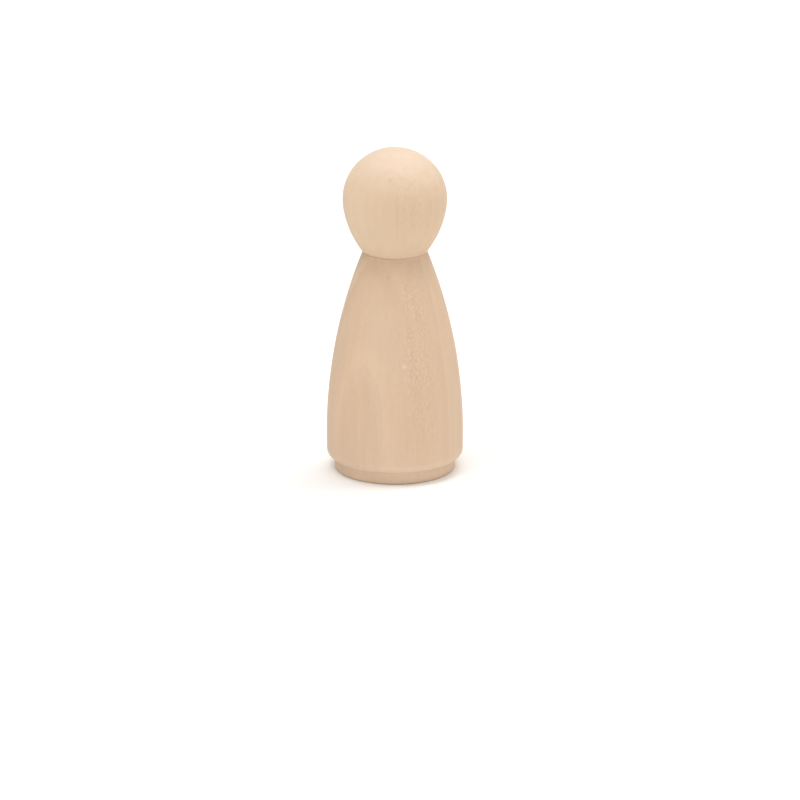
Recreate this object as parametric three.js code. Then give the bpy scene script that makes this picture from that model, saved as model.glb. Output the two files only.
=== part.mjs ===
// A small unpainted wooden peg doll: a ball head on a bell-shaped body, with a low foot under the hem.
// It is turned in three pieces and glued. A dowel joins the head to the body, and a spigot on top of the
// foot plugs into the body's underside. Units are millimetres and +Z is up. The origin is the middle of
// the flat underside that the doll stands on.
import * as THREE from "three";

// Heights of the three turned pieces, stacked from the floor up
const FOOT_HEIGHT = 1.35;
const BODY_HEIGHT = 22.55;
const HEAD_HEIGHT = 11.1;

// Head: a ball whose lower cheeks flatten towards the neck
const HEAD_DIAMETER = 11.0;
const CHEEK_START_DEGREES = 8.5; // below the middle of the ball

// Body: one long curve from the neck to the widest place, then a rounded hem
const NECK_DIAMETER = 6.8;
const BODY_DIAMETER = 14.55;
const WIDEST_HEIGHT = 2.45; // above the body's underside
const HEM_RADIUS = 0.85;

// Foot: a low round plinth with a softened lower edge
const FOOT_DIAMETER = 12.85;
const FOOT_EDGE_RADIUS = 0.25;

// Neck dowel, glued into a blind hole on each side of the neck
const DOWEL_DIAMETER = 3.0;
const DOWEL_IN_HEAD = 4.5;
const DOWEL_IN_BODY = 5.5;
const DOWEL_CHAMFER = 0.4;

// Spigot on top of the foot, glued into a socket under the body
const SPIGOT_DIAMETER = 5.0;
const SPIGOT_LENGTH = 2.0;
const SPIGOT_CHAMFER = 0.3;

// Room for glue round a peg in its hole, and beyond the peg's end
const PEG_SIDE_GAP = 0.1;
const PEG_END_GAP = 0.3;

// Fineness of the curved surfaces
const SIDES = 64;
const CHORD_ERROR = 0.005; // how far a chord may lie inside its arc

const HEAD_WOOD = new THREE.MeshStandardMaterial({ color: 0xe3c7a8, roughness: 0.65, metalness: 0 });
const BODY_WOOD = new THREE.MeshStandardMaterial({ color: 0xddbfa3, roughness: 0.65, metalness: 0 });
const FOOT_WOOD = new THREE.MeshStandardMaterial({ color: 0xd2b59c, roughness: 0.7, metalness: 0 });
const DOWEL_WOOD = new THREE.MeshStandardMaterial({ color: 0xd8b98f, roughness: 0.75, metalness: 0 });

// A point of a turning profile: distance from the axis, and height
function at(radius, height) {
  return new THREE.Vector2(radius, height);
}

// Points along a circular arc of a profile, both ends included
function arc(centre, radius, fromAngle, toAngle) {
  const step = 2 * Math.acos(1 - CHORD_ERROR / radius);
  const count = Math.ceil(Math.abs(toAngle - fromAngle) / step);
  const curve = new THREE.EllipseCurve(centre.x, centre.y, radius, radius, fromAngle, toAngle);
  return curve.getPoints(count);
}

// A solid turned about Z. Its profile leaves the axis below, follows the outside up and ends on the axis.
function turned(name, profile, material) {
  const geometry = new THREE.LatheGeometry(profile, SIDES);
  geometry.rotateX(Math.PI / 2);
  const mesh = new THREE.Mesh(geometry, material);
  mesh.name = name;
  return mesh;
}

// The head stands on its neck face at height 0.
function makeHead() {
  const ballRadius = HEAD_DIAMETER / 2;
  const ballCentre = at(0, HEAD_HEIGHT - ballRadius);
  const neckEdge = at(NECK_DIAMETER / 2, 0);
  const holeRadius = DOWEL_DIAMETER / 2 + PEG_SIDE_GAP;
  const holeDepth = DOWEL_IN_HEAD + PEG_END_GAP;

  // The cheek is an arc that leaves the ball without a corner and ends at the neck's edge.
  const cheekStart = -THREE.MathUtils.degToRad(CHEEK_START_DEGREES);
  const outward = at(Math.cos(cheekStart), Math.sin(cheekStart));
  const cheekTop = ballCentre.clone().addScaledVector(outward, ballRadius);
  const cheekChord = neckEdge.clone().sub(cheekTop);
  const cheekRadius = -cheekChord.lengthSq() / (2 * cheekChord.dot(outward));
  const cheekCentre = cheekTop.clone().addScaledVector(outward, -cheekRadius);
  const neckAngle = Math.atan2(neckEdge.y - cheekCentre.y, neckEdge.x - cheekCentre.x);

  const profile = [
    at(0, holeDepth),
    at(holeRadius, holeDepth),
    at(holeRadius, 0),
    ...arc(cheekCentre, cheekRadius, neckAngle, cheekStart),
    ...arc(ballCentre, ballRadius, cheekStart, Math.PI / 2).slice(1),
  ];
  return turned("head", profile, HEAD_WOOD);
}

// The body stands on its underside at height 0, with the neck at BODY_HEIGHT.
function makeBody() {
  const holeRadius = DOWEL_DIAMETER / 2 + PEG_SIDE_GAP;
  const holeFloor = BODY_HEIGHT - DOWEL_IN_BODY - PEG_END_GAP;
  const socketRadius = SPIGOT_DIAMETER / 2 + PEG_SIDE_GAP;
  const socketDepth = SPIGOT_LENGTH + PEG_END_GAP;

  // The side is one arc that is upright at the widest place and ends at the neck.
  const widestRadius = BODY_DIAMETER / 2;
  const rise = BODY_HEIGHT - WIDEST_HEIGHT;
  const taper = widestRadius - NECK_DIAMETER / 2;
  const sideRadius = (rise ** 2 + taper ** 2) / (2 * taper);
  const sideCentre = at(widestRadius - sideRadius, WIDEST_HEIGHT);
  const neckAngle = Math.asin(rise / sideRadius);

  // The hem is an arc that touches the underside and runs into the side without a corner.
  const hemDrop = WIDEST_HEIGHT - HEM_RADIUS;
  const hemReach = sideRadius - HEM_RADIUS;
  const hemAngle = -Math.asin(hemDrop / hemReach);
  const hemCentre = at(sideCentre.x + hemReach * Math.cos(hemAngle), HEM_RADIUS);

  const profile = [
    at(0, socketDepth),
    at(socketRadius, socketDepth),
    at(socketRadius, 0),
    ...arc(hemCentre, HEM_RADIUS, -Math.PI / 2, hemAngle),
    ...arc(sideCentre, sideRadius, hemAngle, neckAngle).slice(1),
    at(holeRadius, BODY_HEIGHT),
    at(holeRadius, holeFloor),
    at(0, holeFloor),
  ];
  return turned("body", profile, BODY_WOOD);
}

// The foot stands on the floor, with its spigot rising above its flat top.
function makeFoot() {
  const footRadius = FOOT_DIAMETER / 2;
  const spigotRadius = SPIGOT_DIAMETER / 2;
  const spigotTop = FOOT_HEIGHT + SPIGOT_LENGTH;
  const edgeCentre = at(footRadius - FOOT_EDGE_RADIUS, FOOT_EDGE_RADIUS);

  const profile = [
    at(0, 0),
    ...arc(edgeCentre, FOOT_EDGE_RADIUS, -Math.PI / 2, 0),
    at(footRadius, FOOT_HEIGHT),
    at(spigotRadius, FOOT_HEIGHT),
    at(spigotRadius, spigotTop - SPIGOT_CHAMFER),
    at(spigotRadius - SPIGOT_CHAMFER, spigotTop),
    at(0, spigotTop),
  ];
  return turned("foot", profile, FOOT_WOOD);
}

// The dowel stands on its lower end at height 0.
function makeNeckDowel() {
  const radius = DOWEL_DIAMETER / 2;
  const length = DOWEL_IN_BODY + DOWEL_IN_HEAD;

  const profile = [
    at(0, 0),
    at(radius - DOWEL_CHAMFER, 0),
    at(radius, DOWEL_CHAMFER),
    at(radius, length - DOWEL_CHAMFER),
    at(radius - DOWEL_CHAMFER, length),
    at(0, length),
  ];
  return turned("neck_dowel", profile, DOWEL_WOOD);
}

// The dowel and the head are placed from the neck, and the neck and the body from the top of the foot.
const neckDowel = makeNeckDowel();
neckDowel.position.z = -DOWEL_IN_BODY;

const neck = new THREE.Group();
neck.position.z = BODY_HEIGHT;
neck.add(neckDowel, makeHead());

const aboveFoot = new THREE.Group();
aboveFoot.position.z = FOOT_HEIGHT;
aboveFoot.add(makeBody(), neck);

const doll = new THREE.Group();
doll.add(makeFoot(), aboveFoot);

export default doll;
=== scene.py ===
"""Turned wooden peg doll: fine wooden surfaces, wood finishes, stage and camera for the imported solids."""
import math

import bpy
import numpy as np
from bpy.props import FloatProperty, FloatVectorProperty, IntProperty, PointerProperty
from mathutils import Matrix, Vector


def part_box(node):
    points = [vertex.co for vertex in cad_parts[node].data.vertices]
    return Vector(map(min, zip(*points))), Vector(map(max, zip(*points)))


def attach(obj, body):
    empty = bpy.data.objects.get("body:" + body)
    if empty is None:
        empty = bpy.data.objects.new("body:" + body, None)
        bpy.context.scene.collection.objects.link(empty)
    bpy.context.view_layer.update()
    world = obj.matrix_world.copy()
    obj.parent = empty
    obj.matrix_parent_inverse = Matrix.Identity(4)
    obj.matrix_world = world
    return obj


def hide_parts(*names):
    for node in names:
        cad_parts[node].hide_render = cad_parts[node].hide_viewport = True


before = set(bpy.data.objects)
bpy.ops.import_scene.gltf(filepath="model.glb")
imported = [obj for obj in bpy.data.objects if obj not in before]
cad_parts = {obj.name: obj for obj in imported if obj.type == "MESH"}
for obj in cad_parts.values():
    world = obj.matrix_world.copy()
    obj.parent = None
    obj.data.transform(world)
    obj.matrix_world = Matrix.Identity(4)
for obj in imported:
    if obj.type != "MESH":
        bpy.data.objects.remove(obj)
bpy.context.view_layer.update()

bl_info = {
    "name": "Turned Peg Doll",
    "version": (1, 0, 0),
    "blender": (4, 5, 0),
    "location": "3D View > Sidebar > Peg Doll",
    "description": "Builds the wooden surfaces, finishes and stage of a small turned peg doll",
    "category": "Add Mesh",
}

MM = 0.001
FOOT_LOW, FOOT_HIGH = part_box("foot")
BODY_LOW, BODY_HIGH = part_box("body")
HEAD_LOW, HEAD_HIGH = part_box("head")
DOWEL_LOW, DOWEL_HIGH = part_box("neck_dowel")

# Spacing of the points along an outline: on small roundings, on long curves, and inside joints
FINE = 0.05 * MM
EVEN = 0.11 * MM
COARSE = 0.4 * MM

# Corners of an outline that turn further than the first angle are rubbed round. Edges of a mesh that turn
# further than the second one stay sharp.
RUBBED_TURN = math.radians(25)
SHARP_TURN = math.radians(50)

# How far torn grain reaches from the neck's edge, and how near a joint face all relief dies away
TORN_REACH = 0.18 * MM
FACE_MARGIN = 0.1 * MM

# The point that the lamps face, and how far the floor reaches to each side
DOLL_MIDDLE = (0, 0, 0.018)
FLOOR_REACH = 1.5


class DollSizes(bpy.types.PropertyGroup):
    """Sizes of the turned pieces. Heights and widths that the frame gives are read from it."""

    head_diameter: FloatProperty(
        name="Head Diameter", description="Across the ball of the head",
        default=HEAD_HIGH.x - HEAD_LOW.x, min=0, unit="LENGTH")
    cheek_start: FloatProperty(
        name="Cheek Start", description="Angle below the ball's middle where the cheeks begin to flatten",
        default=math.radians(8.5), min=0, subtype="ANGLE")
    neck_diameter: FloatProperty(
        name="Neck Diameter", description="Across the line where head and body meet",
        default=6.8 * MM, min=0, unit="LENGTH")
    body_diameter: FloatProperty(
        name="Body Diameter", description="Across the widest place, just above the hem",
        default=BODY_HIGH.x - BODY_LOW.x, min=0, unit="LENGTH")
    widest_height: FloatProperty(
        name="Widest Height", description="Height of the body's widest place above the floor",
        default=3.8 * MM, min=0, unit="LENGTH")
    hem_radius: FloatProperty(
        name="Hem Radius", description="Rounding of the hem",
        default=0.85 * MM, min=0, unit="LENGTH")
    foot_diameter: FloatProperty(
        name="Foot Diameter", description="Across the foot",
        default=FOOT_HIGH.x - FOOT_LOW.x, min=0, unit="LENGTH")
    foot_edge_radius: FloatProperty(
        name="Foot Edge Radius", description="Rounding of the foot's lower edge",
        default=0.25 * MM, min=0, unit="LENGTH")
    spigot_diameter: FloatProperty(
        name="Spigot Diameter", description="Across the spigot on top of the foot",
        default=5.0 * MM, min=0, unit="LENGTH")
    spigot_chamfer: FloatProperty(
        name="Spigot Chamfer", description="Slope round the spigot's top, so that it finds its socket",
        default=0.3 * MM, min=0, unit="LENGTH")
    glue_side_gap: FloatProperty(
        name="Glue Side Gap", description="Room for glue round a peg in its hole",
        default=0.1 * MM, min=0, unit="LENGTH")
    glue_end_gap: FloatProperty(
        name="Glue End Gap", description="Room for glue beyond a peg's end",
        default=0.3 * MM, min=0, unit="LENGTH")
    worn_edge: FloatProperty(
        name="Worn Edge", description="How far back from a corner the wood is rubbed round",
        default=0.06 * MM, min=0, unit="LENGTH")
    unevenness: FloatProperty(
        name="Unevenness", description="Depth of the slow waves that turning and sanding leave",
        default=0.009 * MM, min=0, unit="LENGTH")
    torn_grain: FloatProperty(
        name="Torn Grain", description="Depth of the torn fibres along the neck's two edges",
        default=0.03 * MM, min=0, unit="LENGTH")
    chip_depth: FloatProperty(
        name="Chip Depth", description="Depth of the small chip in the hem",
        default=0.16 * MM, min=0, unit="LENGTH")
    sides: IntProperty(
        name="Sides", description="Steps round each turned surface",
        default=320, min=24)


class DollWood(bpy.types.PropertyGroup):
    """Colours and figure of the wood."""

    early_wood: FloatVectorProperty(
        name="Early Wood", description="Pale wood between the ring lines",
        default=(0.728, 0.541, 0.380), size=3, min=0, max=1, subtype="COLOR")
    late_wood: FloatVectorProperty(
        name="Late Wood", description="Darker wood at the ring lines",
        default=(0.610, 0.422, 0.274), size=3, min=0, max=1, subtype="COLOR")
    # Colour of the painted shade under the head, under the hem and at the floor, and of the pin knots and
    # the chip's spot
    shade_and_knot: FloatVectorProperty(
        name="Soil", description="Dust and burnish in the joint lines and pin marks",
        default=(0.330, 0.205, 0.120), size=3, min=0, max=1, subtype="COLOR")
    # Colour of the pale spot in the wood and of the painted highlight that makes the body paler towards the
    # hem
    pale_and_highlight: FloatVectorProperty(
        name="Rubbed Wood", description="Pale wood along rubbed edges and in pale spots",
        default=(0.900, 0.740, 0.590), size=3, min=0, max=1, subtype="COLOR")
    # Colour of the painted highlight on the head's crown
    crown_highlight: FloatVectorProperty(
        name="Bleached Wood", description="Pale, dry wood at the crown",
        default=(0.840, 0.750, 0.660), size=3, min=0, max=1, subtype="COLOR")
    ring_width: FloatProperty(
        name="Ring Width", description="Width of one year's growth, in millimetres",
        default=3.1, min=0.1)
    grain_relief: FloatProperty(
        name="Grain Relief", description="Depth of the grain's fine relief",
        default=0.02 * MM, min=0, unit="LENGTH")


class DollStage(bpy.types.PropertyGroup):
    """Camera, lights and floor."""

    camera_place: FloatVectorProperty(
        name="Camera Place", description="Where the camera stands",
        default=(0, -450 * MM, 147.5 * MM), size=3, subtype="TRANSLATION")
    camera_target: FloatVectorProperty(
        name="Camera Target", description="The point in the middle of the picture",
        default=(0.54 * MM, 0, 7.40 * MM), size=3, subtype="TRANSLATION")
    lens: FloatProperty(
        name="Lens", description="Focal length in millimetres", default=199.1, min=1)
    sky: FloatProperty(
        name="Sky", description="Strength of the even light from all round", default=0.42, min=0)
    sky_colour: FloatVectorProperty(
        name="Sky Colour", description="Colour of the even light from all round",
        default=(1.0, 0.95, 0.89), size=3, min=0, max=1, subtype="COLOR")
    overhead: FloatProperty(
        name="Overhead", description="Power of the softbox above", default=9.2, min=0, subtype="POWER")
    overhead_colour: FloatVectorProperty(
        name="Overhead Colour", description="Colour of the softbox above",
        default=(0.94, 0.97, 0.985), size=3, min=0, max=1, subtype="COLOR")
    front: FloatProperty(
        name="Front", description="Power of the softbox in front", default=1.6, min=0, subtype="POWER")
    side: FloatProperty(
        name="Side", description="Power of the softbox behind on the right",
        default=1.15, min=0, subtype="POWER")
    floor_colour: FloatVectorProperty(
        name="Floor Colour", description="Colour of the floor",
        default=(0.86, 0.86, 0.86), size=3, min=0, max=1, subtype="COLOR")


# Shapes

def line(start, end, spacing):
    """Points on a straight run from start to end, no further apart than the spacing."""
    count = max(2, math.ceil(math.dist(start, end) / spacing) + 1)
    return np.linspace(start, end, count)


def arc(centre, radius, start, end, spacing):
    """Points on a circle: centre + radius (cos a, sin a), for even angles a from start to end."""
    count = max(3, math.ceil(abs(end - start) * radius / spacing) + 1)
    angle = np.linspace(start, end, count)
    return np.array(centre) + radius * np.column_stack((np.cos(angle), np.sin(angle)))


def join(*runs):
    """Runs of points end to end as one outline, with the point that two runs share kept once."""
    return np.vstack([runs[0]] + [run[1:] for run in runs[1:]])


def soften(outline, reach, steps=5):
    """Rubs each sharp corner of an outline round.

    The corner P becomes the curve (1-t)(1-t) A + 2t(1-t) P + tt B. A and B lie on the two sides that meet
    there, up to `reach` from P and less than half way along.
    """
    before = outline[1:-1] - outline[:-2]
    after = outline[2:] - outline[1:-1]
    across = before[:, 0] * after[:, 1] - before[:, 1] * after[:, 0]
    turn_angle = np.arctan2(across, (before * after).sum(axis=1))
    t = np.linspace(0, 1, steps)[:, None]
    runs, start = [], 0
    for corner in 1 + np.flatnonzero(np.abs(turn_angle) > RUBBED_TURN):
        point = outline[corner]
        sides = outline[[corner - 1, corner + 1]] - point
        length = np.linalg.norm(sides, axis=1)[:, None]
        a, b = point + sides / length * np.minimum(reach, 0.45 * length)
        runs += [outline[start:corner], (1 - t) ** 2 * a + 2 * t * (1 - t) * point + t ** 2 * b]
        start = corner + 1
    return np.vstack(runs + [outline[start:]])


def turn(outline, sides):
    """Carries an outline round the Z axis: (r, z) becomes (r cos a, r sin a, z) at even angles a.

    Also gives the outward normals: the outline's own normal (dz, -dr), carried round in the same way.
    """
    angle = np.arange(sides) * (2 * np.pi / sides)
    slope = np.gradient(outline, axis=0)
    slope /= np.linalg.norm(slope, axis=1, keepdims=True)

    def carry(radial, upright):
        flat = radial[:, None]
        level = np.repeat(upright[:, None], sides, axis=1)
        return np.stack((flat * np.cos(angle), flat * np.sin(angle), level), axis=-1)

    return carry(outline[:, 0], outline[:, 1]), carry(slope[:, 1], -slope[:, 0])


def waves(points, seed, longest, shortest, count=16):
    """A smooth relief of about -1 to 1 in space.

    It is the sum of sine waves with seeded directions and phases, divided by the root of their number.
    """
    rng = np.random.default_rng(seed)
    heading = rng.normal(size=(count, 3))
    heading /= np.linalg.norm(heading, axis=1, keepdims=True)
    number = 2 * np.pi / np.geomspace(longest, shortest, count)
    phase = rng.uniform(0, 2 * np.pi, count)
    return np.sin(points @ (heading * number[:, None]).T + phase).sum(axis=-1) / math.sqrt(count)


def near(points, place, reach):
    """A soft spot, 1 at a place and falling off as exp(-(distance / reach)^2), with a reach per axis."""
    away = (points - np.array(place)) / np.array(reach)
    return np.exp(-(away ** 2).sum(axis=-1))


def at_height(points, height, reach):
    """A soft band round the doll, 1 at a height and falling off as exp(-(distance / reach)^2)."""
    return np.exp(-((points[..., 2] - height) / reach) ** 2)


def off_faces(points, *heights):
    """0 on the flat faces at the given heights, rising evenly to 1 at the face margin from them."""
    distance = np.abs(points[..., 2, None] - np.array(heights))
    return np.clip(distance / FACE_MARGIN, 0, 1).prod(axis=-1)


def skin(name, grid):
    """A closed mesh over a grid of rings, whose first and last rings are single points on the axis."""
    rings = grid[1:-1]
    count, sides = rings.shape[:2]
    vertices = np.vstack((grid[0, :1], rings.reshape(-1, 3), grid[-1, :1]))
    here = 1 + np.arange(count * sides).reshape(count, sides)
    ahead = np.roll(here, -1, axis=1)
    last = np.full(sides, len(vertices) - 1)
    quads = np.stack((here[:-1], ahead[:-1], ahead[1:], here[1:]), axis=-1).reshape(-1, 4)
    low = np.stack((np.zeros(sides, int), ahead[0], here[0]), axis=-1)
    high = np.stack((here[-1], ahead[-1], last), axis=-1)
    mesh = bpy.data.meshes.new(name)
    mesh.from_pydata(vertices.tolist(), [], quads.tolist() + low.tolist() + high.tolist())
    mesh.shade_smooth()
    mesh.set_sharp_from_angle(angle=SHARP_TURN)
    return mesh


def place_piece(mesh, material, node):
    """Shows a mesh as the piece that stands for a solid."""
    mesh.materials.append(material)
    piece = bpy.data.objects.new(mesh.name, mesh)
    bpy.context.scene.collection.objects.link(piece)
    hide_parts(node)
    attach(piece, "root")


def head_outline(sizes):
    """The head from the end of its dowel hole, round the neck face, up the cheek's arc and the ball's.

    The cheek's arc leaves the ball without a corner: with n the ball's normal there and v the way from
    there to the neck's edge, its radius is -(v v) / (2 v n).
    """
    neck = HEAD_LOW.z
    ball = sizes.head_diameter / 2
    middle = np.array((0, HEAD_HIGH.z - ball))
    hole = (DOWEL_HIGH.x - DOWEL_LOW.x) / 2 + sizes.glue_side_gap
    hole_end = DOWEL_HIGH.z + sizes.glue_end_gap
    edge = np.array((sizes.neck_diameter / 2, neck))
    start = -sizes.cheek_start
    normal = np.array((math.cos(start), math.sin(start)))
    leave = middle + ball * normal
    way = edge - leave
    cheek = -(way @ way) / (2 * way @ normal)
    centre = leave - cheek * normal
    edge_angle = math.atan2(edge[1] - centre[1], edge[0] - centre[0])
    return join(
        line((0, hole_end), (hole, hole_end), COARSE),
        line((hole, hole_end), (hole, neck), COARSE),
        line((hole, neck), edge, COARSE),
        arc(centre, cheek, edge_angle, start, EVEN),
        arc(middle, ball, start, math.pi / 2, EVEN),
    )


def body_outline(sizes):
    """The body from its socket, round the underside and the hem's arc, up the side's arc to its hole.

    The side's arc is upright at the widest place, so with h the rise and w the taper from there to the
    neck its radius is (hh + ww) / 2w. The hem's arc touches the underside and meets the side without a
    corner.
    """
    low, neck = BODY_LOW.z, BODY_HIGH.z
    hole = (DOWEL_HIGH.x - DOWEL_LOW.x) / 2 + sizes.glue_side_gap
    hole_end = DOWEL_LOW.z - sizes.glue_end_gap
    socket = sizes.spigot_diameter / 2 + sizes.glue_side_gap
    socket_end = FOOT_HIGH.z + sizes.glue_end_gap
    widest = sizes.body_diameter / 2
    edge = (sizes.neck_diameter / 2, neck)
    rise, taper = neck - sizes.widest_height, widest - edge[0]
    side = (rise ** 2 + taper ** 2) / (2 * taper)
    centre = np.array((widest - side, sizes.widest_height))
    reach = side - sizes.hem_radius
    hem_angle = -math.asin((sizes.widest_height - low - sizes.hem_radius) / reach)
    hem_centre = np.array((centre[0] + reach * math.cos(hem_angle), low + sizes.hem_radius))
    return join(
        line((0, socket_end), (socket, socket_end), COARSE),
        line((socket, socket_end), (socket, low), COARSE),
        line((socket, low), (hem_centre[0], low), COARSE),
        arc(hem_centre, sizes.hem_radius, -math.pi / 2, hem_angle, FINE),
        arc(centre, side, hem_angle, math.asin(rise / side), EVEN),
        line(edge, (hole, neck), COARSE),
        line((hole, neck), (hole, hole_end), COARSE),
        line((hole, hole_end), (0, hole_end), COARSE),
    )


def foot_outline(sizes):
    """The foot from the middle of its underside, round its lower edge's arc, up and over the spigot."""
    floor, top, spigot_top = FOOT_LOW.z, BODY_LOW.z, FOOT_HIGH.z
    foot, edge = sizes.foot_diameter / 2, sizes.foot_edge_radius
    spigot, chamfer = sizes.spigot_diameter / 2, sizes.spigot_chamfer
    return join(
        line((0, floor), (foot - edge, floor), COARSE),
        arc((foot - edge, floor + edge), edge, -math.pi / 2, 0, FINE),
        line((foot, floor + edge), (foot, top), EVEN),
        line((foot, top), (spigot, top), COARSE),
        line((spigot, top), (spigot, spigot_top - chamfer), COARSE),
        line((spigot, spigot_top - chamfer), (spigot - chamfer, spigot_top), COARSE),
        line((spigot - chamfer, spigot_top), (0, spigot_top), COARSE),
    )


def head_mesh(sizes):
    """The head's outline carried round, then moved along its normals by slow waves and torn grain.

    The torn grain lies along the neck's edge.
    """
    points, normals = turn(soften(head_outline(sizes), sizes.worn_edge), sizes.sides)
    relief = sizes.unevenness * waves(points * (1, 1, 0.5), seed=11, longest=9 * MM, shortest=2 * MM)
    torn = sizes.torn_grain * waves(points, seed=12, longest=2 * MM, shortest=0.4 * MM)
    relief += torn * at_height(points, HEAD_LOW.z, TORN_REACH)
    relief *= off_faces(points, HEAD_LOW.z)
    return skin("doll_head", points + relief[..., None] * normals)


def body_mesh(sizes):
    """The body's outline carried round, then moved along its normals by waves, torn grain and a chip.

    The torn grain lies along the neck's edge. The chip is a soft dent in the hem, in front on the left.
    """
    points, normals = turn(soften(body_outline(sizes), sizes.worn_edge), sizes.sides)
    relief = sizes.unevenness * waves(points * (1, 1, 0.4), seed=21, longest=9 * MM, shortest=2 * MM)
    torn = sizes.torn_grain * waves(points, seed=22, longest=2 * MM, shortest=0.4 * MM)
    relief += torn * at_height(points, BODY_HIGH.z, TORN_REACH)
    chip_angle = math.radians(-124)
    chip_radius = sizes.body_diameter / 2 - 0.15 * MM
    chip = (chip_radius * math.cos(chip_angle), chip_radius * math.sin(chip_angle), BODY_LOW.z + 0.4 * MM)
    chip_reach = (0.15 * MM, 0.25 * MM, 0.35 * MM)
    relief -= sizes.chip_depth * near(points, chip, chip_reach)
    relief *= off_faces(points, BODY_LOW.z, BODY_HIGH.z)
    return skin("doll_body", points + relief[..., None] * normals)


def foot_mesh(sizes):
    """The foot's outline carried round, then moved along its normals by slow waves."""
    points, normals = turn(soften(foot_outline(sizes), sizes.worn_edge), sizes.sides)
    relief = sizes.unevenness * waves(points, seed=31, longest=6 * MM, shortest=1 * MM)
    relief *= off_faces(points, FOOT_LOW.z, BODY_LOW.z)
    return skin("doll_foot", points + relief[..., None] * normals)


# Wood finish

class NodeSheet:
    """A node tree that is being filled, with short ways to add a node and take what it puts out."""

    def __init__(self, tree):
        self.tree = tree

    def add(self, kind, inputs=(), **settings):
        """A new node with the given settings, whose inputs are linked or set."""
        node = self.tree.nodes.new(kind)
        for name, value in settings.items():
            setattr(node, name, value)
        for name, value in dict(inputs).items():
            self.put(node.inputs[name], value)
        return node

    def put(self, socket, value):
        """Links a socket to what another node puts out, or sets its value."""
        if isinstance(value, bpy.types.NodeSocket):
            self.tree.links.new(value, socket)
        else:
            socket.default_value = value

    def group(self, tree, inputs=()):
        """A shared group, placed with its own values."""
        return self.add("ShaderNodeGroup", inputs, node_tree=tree)

    def math(self, operation, *values):
        """One step of arithmetic."""
        return self.add("ShaderNodeMath", enumerate(values), operation=operation).outputs[0]

    def times(self, *values):
        """The product of two or more values."""
        product = values[0]
        for value in values[1:]:
            product = self.math("MULTIPLY", product, value)
        return product

    def plus(self, base, value, weight):
        """The base plus a weighted value."""
        return self.math("MULTIPLY_ADD", value, weight, base)

    def centred(self, value):
        """A value between 0 and 1, moved to lie evenly round 0."""
        return self.math("SUBTRACT", value, 0.5)

    def stretch(self, vector, factors):
        """A vector with each part multiplied by its own factor."""
        node = self.add("ShaderNodeVectorMath", {0: vector, 1: factors}, operation="MULTIPLY")
        return node.outputs["Vector"]

    def smooth(self, value, start, end):
        """A soft step from 0 at the start value to 1 at the end value, which may be the lower one."""
        inputs = {"Value": value, "From Min": start, "From Max": end}
        return self.add("ShaderNodeMapRange", inputs, interpolation_type="SMOOTHSTEP").outputs["Result"]

    def noise(self, vector, detail=2.0, roughness=0.5):
        """Cloudy noise between 0 and 1, with one cell per unit of the vector."""
        inputs = {"Vector": vector, "Scale": 1.0, "Detail": detail, "Roughness": roughness}
        return self.add("ShaderNodeTexNoise", inputs).outputs["Fac"]

    def blend(self, factor, a, b, mode="MIX"):
        """Two colours mixed."""
        inputs = {0: factor, 6: a, 7: b}
        return self.add("ShaderNodeMix", inputs, data_type="RGBA", blend_type=mode).outputs[2]


def start_group(name, inputs, outputs):
    """A new shader group with the given sockets. Gives its sheet, its inputs and its outputs."""
    tree = bpy.data.node_groups.new(name, "ShaderNodeTree")
    for label, kind, value in inputs:
        socket = tree.interface.new_socket(name=label, in_out="INPUT", socket_type=kind)
        socket.default_value = value
    for label, kind in outputs:
        tree.interface.new_socket(name=label, in_out="OUTPUT", socket_type=kind)
    sheet = NodeSheet(tree)
    return sheet, sheet.add("NodeGroupInput").outputs, sheet.add("NodeGroupOutput").inputs


def in_millimetres(sheet):
    """The place on the piece, in millimetres."""
    place = sheet.add("ShaderNodeTexCoord").outputs["Object"]
    return sheet.stretch(place, (1 / MM,) * 3)


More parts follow.
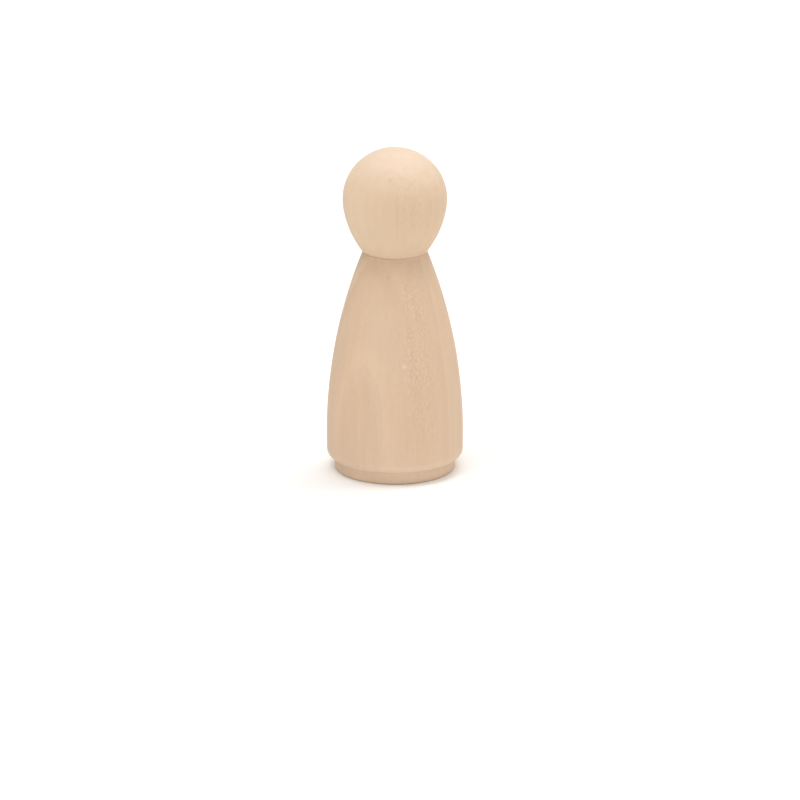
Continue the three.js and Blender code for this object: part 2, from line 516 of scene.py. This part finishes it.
def wood_group():
    """Solid wood: growth rings round a heart that lies beside the doll, fibres, pores and ray flecks.

    All lengths are in millimetres, and the stretch before a noise gives its cells per millimetre.
    """
    name = "Solid Wood"
    if name in bpy.data.node_groups:
        return bpy.data.node_groups[name]
    sheet, given, result = start_group(name, (
        ("Heart", "NodeSocketVector", (0, 0, 0)),
        ("Ring Width", "NodeSocketFloat", 3.0),
        ("Ring Start", "NodeSocketFloat", 0.0),
        ("Ring Contrast", "NodeSocketFloat", 0.2),
        ("Late Start", "NodeSocketFloat", 0.58),
        ("Late Full", "NodeSocketFloat", 0.90),
        ("Late End", "NodeSocketFloat", 0.91),
        ("Ring Fade", "NodeSocketFloat", 0.6),
        ("Fleck Side", "NodeSocketVector", (0, -1, 0)),
        ("Fleck Low", "NodeSocketFloat", -5.0),
        ("Fleck Rise", "NodeSocketFloat", 5.0),
        ("Fleck High", "NodeSocketFloat", 40.0),
        ("Fleck Contrast", "NodeSocketFloat", 0.05),
        ("Early Wood", "NodeSocketColor", (0.8, 0.6, 0.4, 1)),
        ("Late Wood", "NodeSocketColor", (0.7, 0.5, 0.3, 1)),
    ), (
        ("Color", "NodeSocketColor"),
        ("Roughness", "NodeSocketFloat"),
        ("Height", "NodeSocketFloat"),
    ))
    millimetres = in_millimetres(sheet)
    grain = sheet.add("ShaderNodeMapping", {
        "Vector": millimetres, "Location": given["Heart"]}, vector_type="TEXTURE").outputs["Vector"]
    along = sheet.add("ShaderNodeSeparateXYZ", {0: grain}).outputs["Z"]
    across = sheet.stretch(grain, (1, 1, 0))
    radius = sheet.add("ShaderNodeVectorMath", {0: across}, operation="LENGTH").outputs["Value"]

    # Rays show as short flecks in uneven drifts, between two heights of the side that is cut along them
    outward = sheet.add("ShaderNodeVectorMath", {
        0: sheet.stretch(millimetres, (1, 1, 0))}, operation="NORMALIZE").outputs["Vector"]
    facing = sheet.add("ShaderNodeVectorMath", {
        0: outward, 1: given["Fleck Side"]}, operation="DOT_PRODUCT").outputs["Value"]
    drifts = sheet.smooth(sheet.noise(sheet.stretch(grain, (1.1, 1.1, 0.45)), detail=1.0), 0.24, 0.56)
    full_height = sheet.math("ADD", given["Fleck Low"], given["Fleck Rise"])
    above = sheet.smooth(along, given["Fleck Low"], full_height)
    below = sheet.smooth(along, given["Fleck High"], sheet.math("SUBTRACT", given["Fleck High"], 3.0))
    rays = sheet.smooth(sheet.noise(sheet.stretch(grain, (7.2, 7.2, 2.4)), detail=1.0), 0.37, 0.63)
    fleck = sheet.times(sheet.smooth(facing, 0.953, 0.992), drifts, above, below, sheet.centred(rays))

    # Rings: a slow rise to darker late wood, then a pale line where the next spring begins. They are
    # fainter on the flecked side.
    drift = sheet.noise(sheet.stretch(grain, (0.35, 0.35, 0.06)))
    growth = sheet.math("SUBTRACT", sheet.plus(radius, sheet.centred(drift), 0.6), given["Ring Start"])
    season = sheet.math("FRACT", sheet.math("DIVIDE", growth, given["Ring Width"]))
    patchy = sheet.smooth(sheet.noise(sheet.stretch(grain, (0.3, 0.3, 0.12))), 0.10, 0.55)
    faded = sheet.times(sheet.smooth(facing, 0.75, 0.97), given["Ring Fade"])
    clear = sheet.times(patchy, sheet.math("SUBTRACT", 1.0, faded))
    rise = sheet.smooth(season, given["Late Start"], given["Late Full"])
    late = sheet.times(rise, sheet.smooth(season, 1.0, given["Late End"]), clear)
    spring = sheet.times(sheet.smooth(season, 0.0, 0.05), sheet.smooth(season, 0.22, 0.06), clear)

    # Streaks, fibres and pores run along the grain
    streak = sheet.noise(sheet.stretch(grain, (1.6, 1.6, 0.05)), detail=3.0)
    fibre = sheet.noise(sheet.stretch(grain, (13.0, 13.0, 0.45)))
    cells = sheet.stretch(grain, (7.0, 7.0, 0.55))
    distance = sheet.add("ShaderNodeTexVoronoi", {"Vector": cells, "Scale": 1.0}).outputs["Distance"]
    pore = sheet.smooth(distance, 0.26, 0.08)

    # Colour
    tone = sheet.plus(1.0, sheet.centred(streak), 0.09)
    tone = sheet.plus(tone, sheet.centred(fibre), 0.11)
    tone = sheet.plus(tone, sheet.times(spring, given["Ring Contrast"]), 0.18)
    tone = sheet.plus(tone, pore, -0.03)
    tone = sheet.plus(tone, fleck, given["Fleck Contrast"])
    ring_share = sheet.times(late, given["Ring Contrast"])
    ringed = sheet.blend(ring_share, given["Early Wood"], given["Late Wood"])
    mottle = sheet.smooth(sheet.noise(sheet.stretch(grain, (0.22, 0.22, 0.10))), 0.35, 0.65)
    warmed = sheet.blend(1.0, ringed, (1.0, 0.975, 0.965, 1), "MULTIPLY")
    mottled = sheet.blend(mottle, ringed, warmed)
    toned = sheet.add("ShaderNodeVectorMath", {0: mottled, "Scale": tone}, operation="SCALE")
    sheet.put(result["Color"], toned.outputs["Vector"])

    # Sheen and relief
    sheet.put(result["Roughness"], sheet.plus(sheet.plus(0.48, fibre, 0.16), fleck, -0.10))
    sheet.put(result["Height"], sheet.plus(sheet.plus(fibre, pore, -0.6), late, 0.3))
    return sheet.tree


def turning_group():
    """Fine rings round the doll that the turning tool and the sanding cloth leave."""
    name = "Turning Marks"
    if name in bpy.data.node_groups:
        return bpy.data.node_groups[name]
    sheet, given, result = start_group(
        name, (("Rings per Millimetre", "NodeSocketFloat", 9.0),), (("Height", "NodeSocketFloat"),))
    rings = sheet.add("ShaderNodeCombineXYZ", {
        "X": 0.25, "Y": 0.25, "Z": given["Rings per Millimetre"]}).outputs["Vector"]
    marks = sheet.noise(sheet.stretch(in_millimetres(sheet), rings), detail=3.0, roughness=0.6)
    sheet.put(result["Height"], marks)
    return sheet.tree


def band_group():
    """Colours a ragged band round the doll at one height, such as painted shade or a painted highlight."""
    name = "Ragged Band"
    if name in bpy.data.node_groups:
        return bpy.data.node_groups[name]
    sheet, given, result = start_group(name, (
        ("Color", "NodeSocketColor", (0.8, 0.6, 0.4, 1)),
        ("Band Color", "NodeSocketColor", (0.3, 0.2, 0.1, 1)),
        ("Height", "NodeSocketFloat", 0.0),
        ("Spread", "NodeSocketFloat", 0.3),
        ("Strength", "NodeSocketFloat", 0.1),
    ), (("Color", "NodeSocketColor"),))
    millimetres = in_millimetres(sheet)
    upright = sheet.add("ShaderNodeSeparateXYZ", {0: millimetres}).outputs["Z"]
    ragged = sheet.noise(sheet.stretch(millimetres, (1.1, 1.1, 1.1)), detail=3.0)
    away = sheet.math("ABSOLUTE", sheet.math("SUBTRACT", upright, given["Height"]))
    share = sheet.math("DIVIDE", away, given["Spread"])
    inside = sheet.smooth(sheet.math("SUBTRACT", ragged, share), -0.6, 0.6)
    mask = sheet.times(inside, given["Strength"])
    sheet.put(result["Color"], sheet.blend(mask, given["Color"], given["Band Color"]))
    return sheet.tree


def mark_group():
    """Colours one small mark in the wood, such as a pin knot or a streak.

    The mark is an upright spot with an uneven edge. It runs deeper into the wood along Y than it is wide.
    """
    name = "Pin Mark"
    if name in bpy.data.node_groups:
        return bpy.data.node_groups[name]
    sheet, given, result = start_group(name, (
        ("Color", "NodeSocketColor", (0.8, 0.6, 0.4, 1)),
        ("Mark Color", "NodeSocketColor", (0.3, 0.2, 0.1, 1)),
        ("Place", "NodeSocketVector", (0, 0, 0)),
        ("Radius", "NodeSocketFloat", 0.3),
        ("Tallness", "NodeSocketFloat", 1.5),
        ("Strength", "NodeSocketFloat", 0.2),
    ), (("Color", "NodeSocketColor"),))
    millimetres = in_millimetres(sheet)
    away = sheet.add("ShaderNodeVectorMath", {0: millimetres, 1: given["Place"]}, operation="SUBTRACT")
    squeeze = sheet.add("ShaderNodeCombineXYZ", {
        "X": 1.0, "Y": 0.3, "Z": sheet.math("DIVIDE", 1.0, given["Tallness"])}).outputs["Vector"]
    flattened = sheet.stretch(away.outputs["Vector"], squeeze)
    distance = sheet.add("ShaderNodeVectorMath", {0: flattened}, operation="LENGTH").outputs["Value"]
    share = sheet.math("DIVIDE", distance, given["Radius"])
    uneven = sheet.centred(sheet.noise(sheet.stretch(millimetres, (4.0, 4.0, 2.0))))
    inside = sheet.smooth(sheet.math("ADD", share, uneven), 1.0, 0.2)
    mask = sheet.times(inside, given["Strength"])
    sheet.put(result["Color"], sheet.blend(mask, given["Color"], given["Mark Color"]))
    return sheet.tree


def opaque(colour):
    """A colour with full alpha."""
    return (*colour, 1.0)


def wood_material(name, wood, figure, tint=(1, 1, 1), bands=(), marks=()):
    """Bare wood cut from its own place in the tree, with bands and small marks over it.

    The figure holds values for the wood group. A band is (height, spread, colour, strength) and a mark is
    (place, radius, tallness, colour, strength), in millimetres.
    """
    material = bpy.data.materials.new(name)
    material.use_nodes = True
    sheet = NodeSheet(material.node_tree)
    grain = sheet.group(wood_group(), figure)
    grain.inputs["Early Wood"].default_value = opaque(np.multiply(wood.early_wood, tint))
    grain.inputs["Late Wood"].default_value = opaque(np.multiply(wood.late_wood, tint))
    colour = grain.outputs["Color"]
    for height, spread, band_colour, strength in bands:
        colour = sheet.group(band_group(), {
            "Color": colour, "Band Color": opaque(band_colour),
            "Height": height, "Spread": spread, "Strength": strength}).outputs["Color"]
    for place, radius, tallness, mark_colour, strength in marks:
        colour = sheet.group(mark_group(), {
            "Color": colour, "Mark Color": opaque(mark_colour), "Place": place,
            "Radius": radius, "Tallness": tallness, "Strength": strength}).outputs["Color"]
    turning = sheet.group(turning_group())
    relief = sheet.plus(grain.outputs["Height"], turning.outputs["Height"], 0.6)
    bump = sheet.add("ShaderNodeBump", {"Height": relief, "Distance": wood.grain_relief, "Strength": 0.6})
    shader = material.node_tree.nodes["Principled BSDF"]
    sheet.put(shader.inputs["Base Color"], colour)
    sheet.put(shader.inputs["Roughness"], grain.outputs["Roughness"])
    sheet.put(shader.inputs["Normal"], bump.outputs["Normal"])
    shader.inputs["Specular IOR Level"].default_value = 0.2
    return material


def head_wood(wood):
    """The head's wood: paler on the left, with a painted highlight at the crown and painted shade at the
    neck.

    The marks are two pin knots and a faint streak.
    """
    crown, neck = HEAD_HIGH.z / MM, HEAD_LOW.z / MM
    figure = {
        "Heart": (-118.0, -21.0, 0.0), "Ring Width": 4.3 * wood.ring_width, "Ring Start": 113.73,
        "Ring Contrast": 0.30, "Late Start": 0.02, "Late Full": 0.40, "Late End": 0.60, "Ring Fade": 0.0,
        "Fleck Side": (0.310, -0.951, 0.0), "Fleck Low": 26.0, "Fleck High": 35.0, "Fleck Contrast": 0.08}
    return wood_material(
        "head_bare_wood", wood, figure, tint=(1.035, 1.05, 1.055),
        # A painted highlight at the crown, then painted shade on the head at the neck
        bands=((crown, 4.3, wood.crown_highlight, 0.32), (neck, 1.4, wood.shade_and_knot, 0.05)),
        marks=(((-0.5, -4.44, 32.66), 0.26, 1.2, wood.shade_and_knot, 0.14),
               ((1.92, -4.93, 27.95), 0.24, 1.3, wood.shade_and_knot, 0.09),
               ((0.25, -5.32, 29.20), 0.38, 10.0, wood.shade_and_knot, 0.08)))


def body_wood(wood):
    """The body's wood: an arch of rings low on the left, and flecks to the right of the middle.

    It has painted shade under the head and is painted paler towards the hem, as a painted highlight that is
    strongest on the hem's lower edge. The marks are a pin knot, a pale spot and a darker spot in the chip.
    """
    neck, hem = BODY_HIGH.z / MM, BODY_LOW.z / MM
    figure = {
        "Heart": (-63.6, -101.8, 0.0), "Ring Width": wood.ring_width, "Ring Start": 113.43,
        "Ring Contrast": 0.24,
        "Fleck Side": (0.407, -0.914, 0.0), "Fleck Low": -3.0, "Fleck Rise": 17.0, "Fleck High": 23.0,
        "Fleck Contrast": 0.125}
    return wood_material(
        "body_bare_wood", wood, figure, tint=(0.97, 0.957, 0.957),
        # Painted shade under the head
        bands=((neck - 0.35, 0.5, wood.shade_and_knot, 0.05), (neck - 0.4, 2.1, wood.shade_and_knot, 0.18),
               # Painted highlight: paler towards the hem, most of all along its lower edge
               (hem + 0.6, 9.0, wood.pale_and_highlight, 0.06), (hem + 0.6, 2.2, wood.pale_and_highlight, 0.08),
               (hem + 0.5, 0.6, wood.pale_and_highlight, 0.20), (hem + 0.1, 0.3, wood.pale_and_highlight, 0.55)),
        marks=(((-0.7, -4.1, 22.0), 0.30, 1.5, wood.shade_and_knot, 0.12),
               ((0.97, -6.45, 13.05), 0.28, 1.3, wood.pale_and_highlight, 0.40),
               # A darker spot in the chip
               ((-4.0, -5.9, hem + 0.4), 0.16, 2.0, wood.shade_and_knot, 0.20)))


def foot_wood(wood):
    """The foot's wood, with painted shade under the hem and a painted shadow where it meets the floor."""
    floor, hem = FOOT_LOW.z / MM, BODY_LOW.z / MM
    figure = {
        "Heart": (-70.0, -95.0, 0.0), "Ring Width": wood.ring_width, "Ring Start": 114.39,
        "Ring Contrast": 0.14, "Fleck Side": (0.407, -0.914, 0.0), "Fleck Contrast": 0.06}
    return wood_material(
        "foot_bare_wood", wood, figure, tint=(0.98, 1.01, 1.04),
        # Painted shade under the hem, then a painted shadow where the foot meets the floor
        bands=((hem, 0.12, wood.shade_and_knot, 0.06),
               (floor, 0.5, wood.shade_and_knot, 0.13), (floor, 0.1, wood.shade_and_knot, 0.25)))


def dowel_wood(wood):
    """The dowel's wood, with narrower and stronger rings and without marks."""
    figure = {
        "Heart": (14.0, -15.0, 0.0), "Ring Width": 0.6 * wood.ring_width, "Ring Start": 20.46,
        "Ring Contrast": 0.5, "Fleck Contrast": 0.04}
    return wood_material("dowel_bare_wood", wood, figure)


# Stage

def softbox(name, place, width, height, watts, colour=(1, 1, 1)):
    """A soft rectangular lamp that faces the doll and isn't seen itself."""
    lamp = bpy.data.lights.new(name, "AREA")
    lamp.shape = "RECTANGLE"
    lamp.size = width
    lamp.size_y = height
    lamp.energy = watts
    lamp.color = colour
    stand = bpy.data.objects.new(name, lamp)
    stand.location = place
    stand.rotation_mode = "QUATERNION"
    stand.rotation_quaternion = (Vector(DOLL_MIDDLE) - Vector(place)).to_track_quat("-Z", "Y")
    stand.visible_camera = False
    bpy.context.scene.collection.objects.link(stand)


def seen_rays(sheet):
    """1 for what is seen, straight on, mirrored or through glass, and 0 for what only lights things."""
    path = sheet.add("ShaderNodeLightPath").outputs
    mirrored = sheet.math("MAXIMUM", path["Is Glossy Ray"], path["Is Transmission Ray"])
    return sheet.math("MAXIMUM", path["Is Camera Ray"], mirrored)


def studio_world(strength, colour):
    """An even sky of the given strength and colour that looks plain white."""
    world = bpy.data.worlds.new("studio")
    world.use_nodes = True
    sheet = NodeSheet(world.node_tree)
    background = world.node_tree.nodes["Background"]
    seen = seen_rays(sheet)
    sheet.put(background.inputs["Color"], sheet.blend(seen, opaque(colour), (1, 1, 1, 1)))
    level = sheet.add("ShaderNodeMapRange", {"Value": seen, "To Min": strength, "To Max": 1.0})
    sheet.put(background.inputs["Strength"], level.outputs["Result"])
    bpy.context.scene.world = world


def floor_material(colour):
    """Plain pale paper that looks white and keeps the doll's shadow."""
    material = bpy.data.materials.new("floor_paper")
    material.use_nodes = True
    sheet = NodeSheet(material.node_tree)
    shader = material.node_tree.nodes["Principled BSDF"]
    sheet.put(shader.inputs["Base Color"], sheet.blend(seen_rays(sheet), opaque(colour), (1, 1, 1, 1)))
    shader.inputs["Roughness"].default_value = 0.9
    shader.inputs["Specular IOR Level"].default_value = 0.1
    return material


# Operators

class PEGDOLL_OT_head(bpy.types.Operator):
    """Turn the head: a ball with flattened cheeks and a torn, rubbed neck edge"""

    bl_idname = "peg_doll.head"
    bl_label = "Head"

    def execute(self, context):
        scene = context.scene
        place_piece(head_mesh(scene.doll_sizes), head_wood(scene.doll_wood), "head")
        return {"FINISHED"}


class PEGDOLL_OT_body(bpy.types.Operator):
    """Turn the body: a bell with a rounded hem, a torn neck edge and a small chip in the hem"""

    bl_idname = "peg_doll.body"
    bl_label = "Body"

    def execute(self, context):
        scene = context.scene
        place_piece(body_mesh(scene.doll_sizes), body_wood(scene.doll_wood), "body")
        return {"FINISHED"}


class PEGDOLL_OT_foot(bpy.types.Operator):
    """Turn the foot: a low plinth with a softened lower edge and a spigot"""

    bl_idname = "peg_doll.foot"
    bl_label = "Foot"

    def execute(self, context):
        scene = context.scene
        place_piece(foot_mesh(scene.doll_sizes), foot_wood(scene.doll_wood), "foot")
        return {"FINISHED"}


class PEGDOLL_OT_dowel(bpy.types.Operator):
    """Finish the neck dowel in wood"""

    bl_idname = "peg_doll.dowel"
    bl_label = "Neck Dowel"

    def execute(self, context):
        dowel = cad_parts["neck_dowel"]
        dowel.data.materials.clear()
        dowel.data.materials.append(dowel_wood(context.scene.doll_wood))
        return {"FINISHED"}


class PEGDOLL_OT_stage(bpy.types.Operator):
    """Set the floor, the lights, the sky and the camera"""

    bl_idname = "peg_doll.stage"
    bl_label = "Stage"

    def execute(self, context):
        stage = context.scene.doll_stage
        reach = FLOOR_REACH
        mesh = bpy.data.meshes.new("floor")
        corners = [(-reach, -reach, 0), (reach, -reach, 0), (reach, reach, 0), (-reach, reach, 0)]
        mesh.from_pydata(corners, [], [(0, 1, 2, 3)])
        mesh.materials.append(floor_material(stage.floor_colour))
        floor = bpy.data.objects.new("floor", mesh)
        context.scene.collection.objects.link(floor)

        softbox("overhead", (-0.06, 0.08, 0.97), 1.60, 0.50, stage.overhead, stage.overhead_colour)
        softbox("front", (0, -0.75, 0.25), 0.35, 0.45, stage.front)
        softbox("side", (0.66, 0.12, 0.40), 0.35, 0.45, stage.side)
        studio_world(stage.sky, stage.sky_colour)

        lens = bpy.data.cameras.new("camera")
        lens.lens = stage.lens
        lens.sensor_width = 36
        lens.clip_start = 0.01
        camera = bpy.data.objects.new("camera", lens)
        camera.location = stage.camera_place
        camera.rotation_mode = "QUATERNION"
        look = Vector(stage.camera_target) - Vector(stage.camera_place)
        camera.rotation_quaternion = look.to_track_quat("-Z", "Y")
        context.scene.collection.objects.link(camera)
        context.scene.camera = camera
        context.scene.view_settings.view_transform = "Standard"
        return {"FINISHED"}


OPERATORS = (PEGDOLL_OT_head, PEGDOLL_OT_body, PEGDOLL_OT_foot, PEGDOLL_OT_dowel, PEGDOLL_OT_stage)


class PEGDOLL_PT_panel(bpy.types.Panel):
    """Lists the doll's pieces, sizes and colours"""

    bl_label = "Peg Doll"
    bl_idname = "PEGDOLL_PT_panel"
    bl_space_type = "VIEW_3D"
    bl_region_type = "UI"
    bl_category = "Peg Doll"

    def draw(self, context):
        for operator in OPERATORS:
            self.layout.operator(operator.bl_idname)
        for group in (context.scene.doll_sizes, context.scene.doll_wood, context.scene.doll_stage):
            box = self.layout.box()
            for name in type(group).__annotations__:
                box.prop(group, name)


CLASSES = (DollSizes, DollWood, DollStage, *OPERATORS, PEGDOLL_PT_panel)


def register():
    for cls in CLASSES:
        bpy.utils.register_class(cls)
    bpy.types.Scene.doll_sizes = PointerProperty(type=DollSizes)
    bpy.types.Scene.doll_wood = PointerProperty(type=DollWood)
    bpy.types.Scene.doll_stage = PointerProperty(type=DollStage)


def unregister():
    del bpy.types.Scene.doll_stage
    del bpy.types.Scene.doll_wood
    del bpy.types.Scene.doll_sizes
    for cls in reversed(CLASSES):
        bpy.utils.unregister_class(cls)


def main():
    register()
    bpy.ops.peg_doll.head()
    bpy.ops.peg_doll.body()
    bpy.ops.peg_doll.foot()
    bpy.ops.peg_doll.dowel()
    bpy.ops.peg_doll.stage()


if __name__ == "__main__":
    main()
